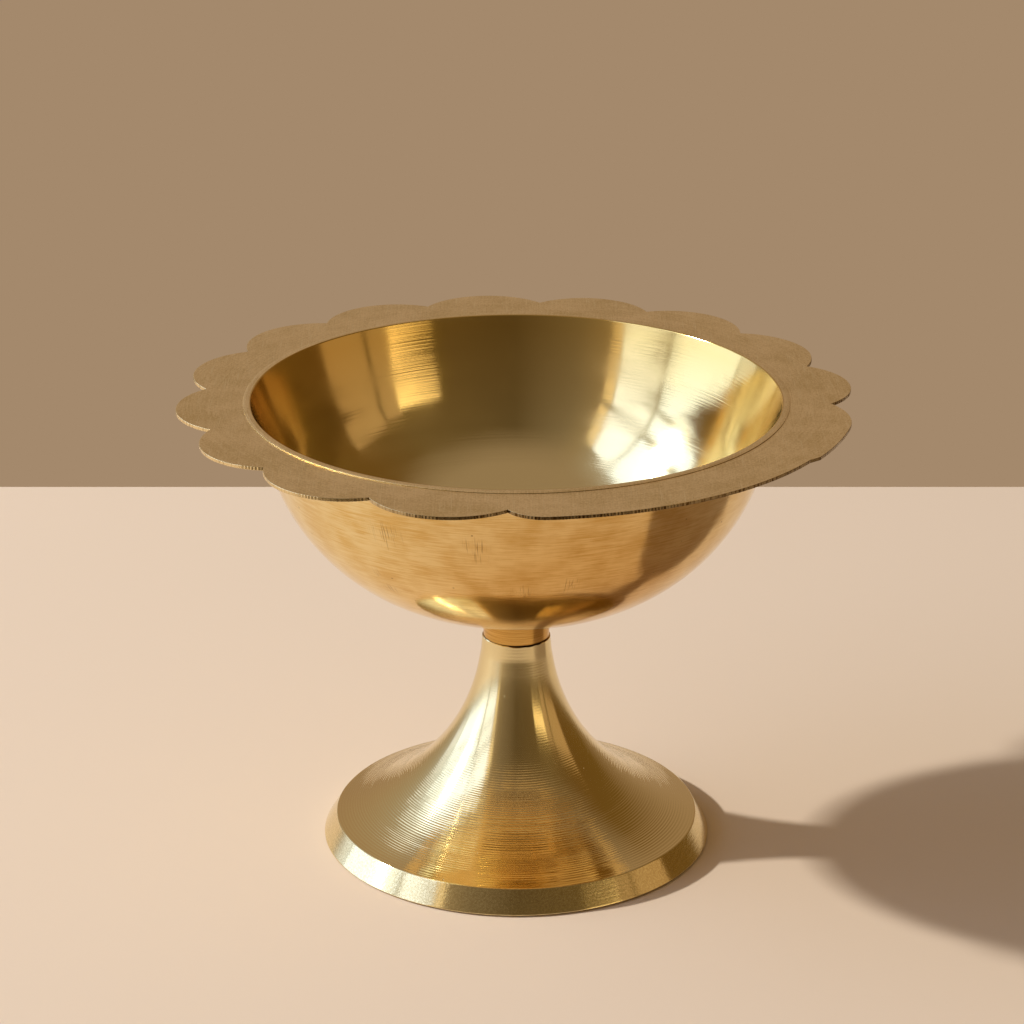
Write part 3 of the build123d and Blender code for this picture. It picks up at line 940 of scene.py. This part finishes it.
bm = bmesh.new()
start = begin(bm, stud_r + WASHER_GAP, washer_low)
last = straight(bm, start, washer_r - thick / 2, washer_low)
last = arc(bm, last, washer_r - thick / 2, washer_low + thick / 2, pi, 8)
last = straight(bm, last, stud_r + WASHER_GAP, washer_high)
close(bm, last, start)
turn(bm)
finish_piece(bm, "leather_washer", "seat_washer", "washer", [leather])


# %% [markdown]
# ## Foot
# The foot was cast hollow and turned outside: a straight neck, one long cove that leaves the neck
# without a corner, a crisp edge, and a sloped polished band at the bottom. The top of the neck was
# cut a little steeper. Inside, the hollow follows the cove at the wall's thickness.

# %% Foot
base_r, _, foot_high = node_size("foot")
ARRIS_H = 0.4
UNDERCUT = 0.3  # the standing ring is filed back, which leaves a dark line under the edge
BAND_H = 3.9
BAND_RUN = 2.1
BAND_HOLD = 0.15  # a row of points this far inside each edge keeps the band's shading flat
RING_W = 4.0  # the ring that the foot stands on
FOOT_WALL = 2.2
NECK_R = 5.3
NECK_RUN = 4.7  # straight part of the neck
NECK_LEAN = radians(10.4)
CUFF_H = 2.4  # steeper top of the neck
CUFF_LEAN = radians(5.0)
CEILING_Z = stud_low - 2.0  # top of the hollow
BORE_R = stud_r + 0.05
BURR_W = 0.2
BURR_SIDE = Vector((-0.85, -0.53))  # the burr is highest on this side
BURR_LOW, BURR_GAIN = 0.5, 4.4  # its height elsewhere, and how fast it grows towards that side
COVE_STEPS, HOLLOW_STEPS = 110, 60

shoulder_r = NECK_R + CUFF_H * (tan(NECK_LEAN) - tan(CUFF_LEAN))
neck_end = Vector((NECK_R + NECK_RUN * sin(NECK_LEAN), foot_high - NECK_RUN * cos(NECK_LEAN)))
skirt_edge = Vector((base_r - BAND_RUN, BAND_H))
inward = Vector((cos(NECK_LEAN), sin(NECK_LEAN)))
chord = skirt_edge - neck_end
cove_r = chord.dot(chord) / (2 * chord.dot(inward))
centre = neck_end + inward * cove_r
cove_angle = atan2(centre.y - skirt_edge.y, centre.x - skirt_edge.x) - NECK_LEAN
hollow_r = cove_r + FOOT_WALL
ring_r = base_r - RING_W
ring_top = centre.y - sqrt(hollow_r**2 - (centre.x - ring_r) ** 2)
ceiling_r = centre.x - sqrt(hollow_r**2 - (centre.y - CEILING_Z) ** 2)
hollow_from = atan2(centre.y - CEILING_Z, centre.x - ceiling_r)
hollow_angle = atan2(centre.y - ring_top, centre.x - ring_r) - hollow_from
print(f"foot: cove radius {cove_r:.2f} mm, hollow radius {hollow_r:.2f} mm")

bm = bmesh.new()
start = begin(bm, BORE_R, foot_high)
last = straight(bm, start, shoulder_r - BURR_W, foot_high)
last = straight(bm, last, shoulder_r - BURR_W / 2, foot_high + BURR)
last = straight(bm, last, shoulder_r, foot_high + 0.6 * BURR)
cuff_low = straight(bm, last, NECK_R + CUFF_H * tan(NECK_LEAN), foot_high - CUFF_H)
last = straight(bm, cuff_low, *neck_end)
edge_top = arc(bm, last, *centre, cove_angle, COVE_STEPS)
band_foot = Vector((base_r, ARRIS_H))
hold = (band_foot - skirt_edge).normalized() * BAND_HOLD
last = straight(bm, edge_top, *(skirt_edge + hold))
last = straight(bm, last, *(band_foot - hold))
arris_top = straight(bm, last, *band_foot)
arris_low = straight(bm, arris_top, base_r, UNDERCUT)
last = straight(bm, arris_low, base_r - 4 * UNDERCUT, 0)
last = straight(bm, last, ring_r, 0)
last = straight(bm, last, ring_r, ring_top)
last = arc(bm, last, *centre, -hollow_angle, HOLLOW_STEPS)
last = straight(bm, last, BORE_R, CEILING_Z)
close(bm, last, start)
break_corners(bm, [cuff_low], 0.5, segments=4)
break_corners(bm, [edge_top], 0.07)
break_corners(bm, [arris_top, arris_low], 0.04)
turn(bm)
for vertex in bm.verts:
    above = vertex.co.z - foot_high * MM
    if above > 0:
        facing = BURR_SIDE.dot(vertex.co.xy) / vertex.co.xy.length
        vertex.co.z = foot_high * MM + above * (BURR_LOW + BURR_GAIN * max(0.0, facing - 0.5))
roughen(bm, foot_high + 0.1 * BURR, foot_high + 4 * BURR, 0.8 * BURR)
for face in bm.faces:
    middle = face.calc_center_median() / MM
    hollow_side = Vector((middle.xy.length, middle.z)) - centre
    behind_wall = hollow_side.length > cove_r + FOOT_WALL / 2
    in_hollow = middle.z < stud_low and behind_wall and middle.xy.length < ring_r + 0.1
    in_band = middle.xy.length > skirt_edge.x
    face.material_index = 2 if in_hollow else 1 if in_band else 0
finish_piece(
    bm, "trumpet_foot", "foot", "foot", [turned_brass, band_brass, skin_brass]
)
